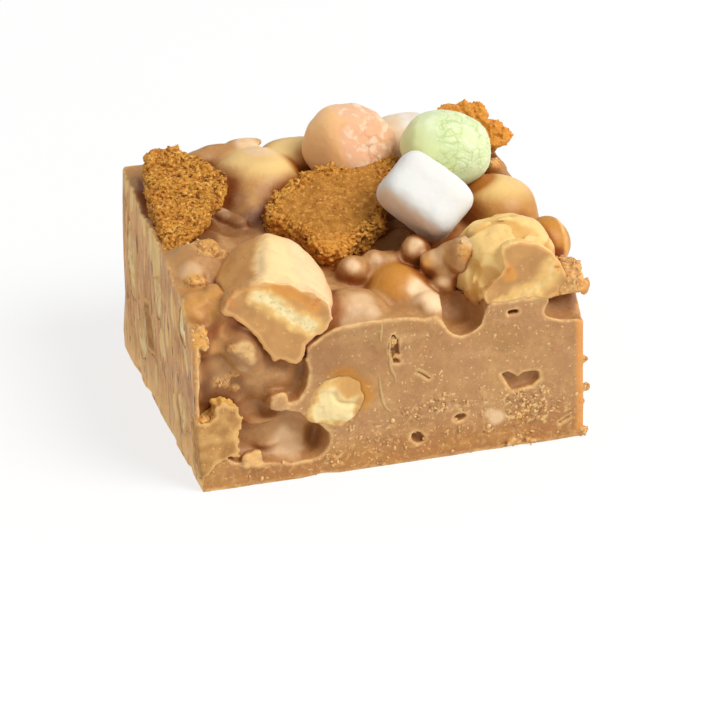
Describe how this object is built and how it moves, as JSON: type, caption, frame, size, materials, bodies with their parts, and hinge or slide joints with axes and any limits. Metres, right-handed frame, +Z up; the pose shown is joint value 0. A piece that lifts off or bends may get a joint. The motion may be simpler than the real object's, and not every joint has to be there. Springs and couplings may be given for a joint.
{
  "type": "rocky road",
  "caption": "Hand-cut block of milk chocolate set round coated marshmallows, nuts and broken biscuit, with loose pink, green and white marshmallows on top.",
  "frame": {"origin": "middle of the block's flat base", "axes": "+X along the long cut front from left to right, +Y from the front to the back, +Z up"},
  "size_m": [0.0629, 0.048, 0.0426],
  "materials": {
    "chocolate": "satin milk chocolate, knife-cut sides and a set top",
    "coated_marshmallow": "marshmallow under a thin glossy film of chocolate",
    "cut_marshmallow": "matt crumbly cut marshmallow",
    "pink_marshmallow": "matt powdery marshmallow",
    "green_marshmallow": "matt powdery marshmallow with a crinkled skin",
    "white_marshmallow": "matt smooth marshmallow",
    "biscuit": "rough sandy crumb",
    "coated_nut": "nut under a thin glossy film of chocolate"
  },
  "bodies": {
    "root": {"block": "chocolate", "marshmallow_pink": "pink_marshmallow", "marshmallow_green": "green_marshmallow", "marshmallow_white": "white_marshmallow", "marshmallow_white_back": "white_marshmallow", "marshmallow_front_left": "coated_marshmallow", "marshmallow_front_right": "coated_marshmallow", "marshmallow_back_right": "coated_marshmallow", "marshmallow_centre": "coated_marshmallow", "marshmallow_back_left": "coated_marshmallow", "marshmallow_back": "coated_marshmallow", "marshmallow_corner": "coated_marshmallow", "nut_right": "coated_nut", "nut_front": "coated_nut", "marshmallow_front_low": "cut_marshmallow", "marshmallow_left_back": "cut_marshmallow", "marshmallow_left_middle": "cut_marshmallow", "marshmallow_left_low_back": "cut_marshmallow", "marshmallow_left_low": "cut_marshmallow", "marshmallow_right_low": "cut_marshmallow", "marshmallow_right_high": "cut_marshmallow", "nut_right_cut": "coated_nut", "marshmallow_rear_left": "cut_marshmallow", "marshmallow_rear_middle": "cut_marshmallow", "marshmallow_rear_right": "cut_marshmallow", "biscuit_back_left": "biscuit", "biscuit_centre": "biscuit", "biscuit_back_right": "biscuit", "biscuit_corner": "biscuit", "biscuit_left": "biscuit", "biscuit_right": "biscuit", "biscuit_rear": "biscuit"}
  },
  "joints": []
}
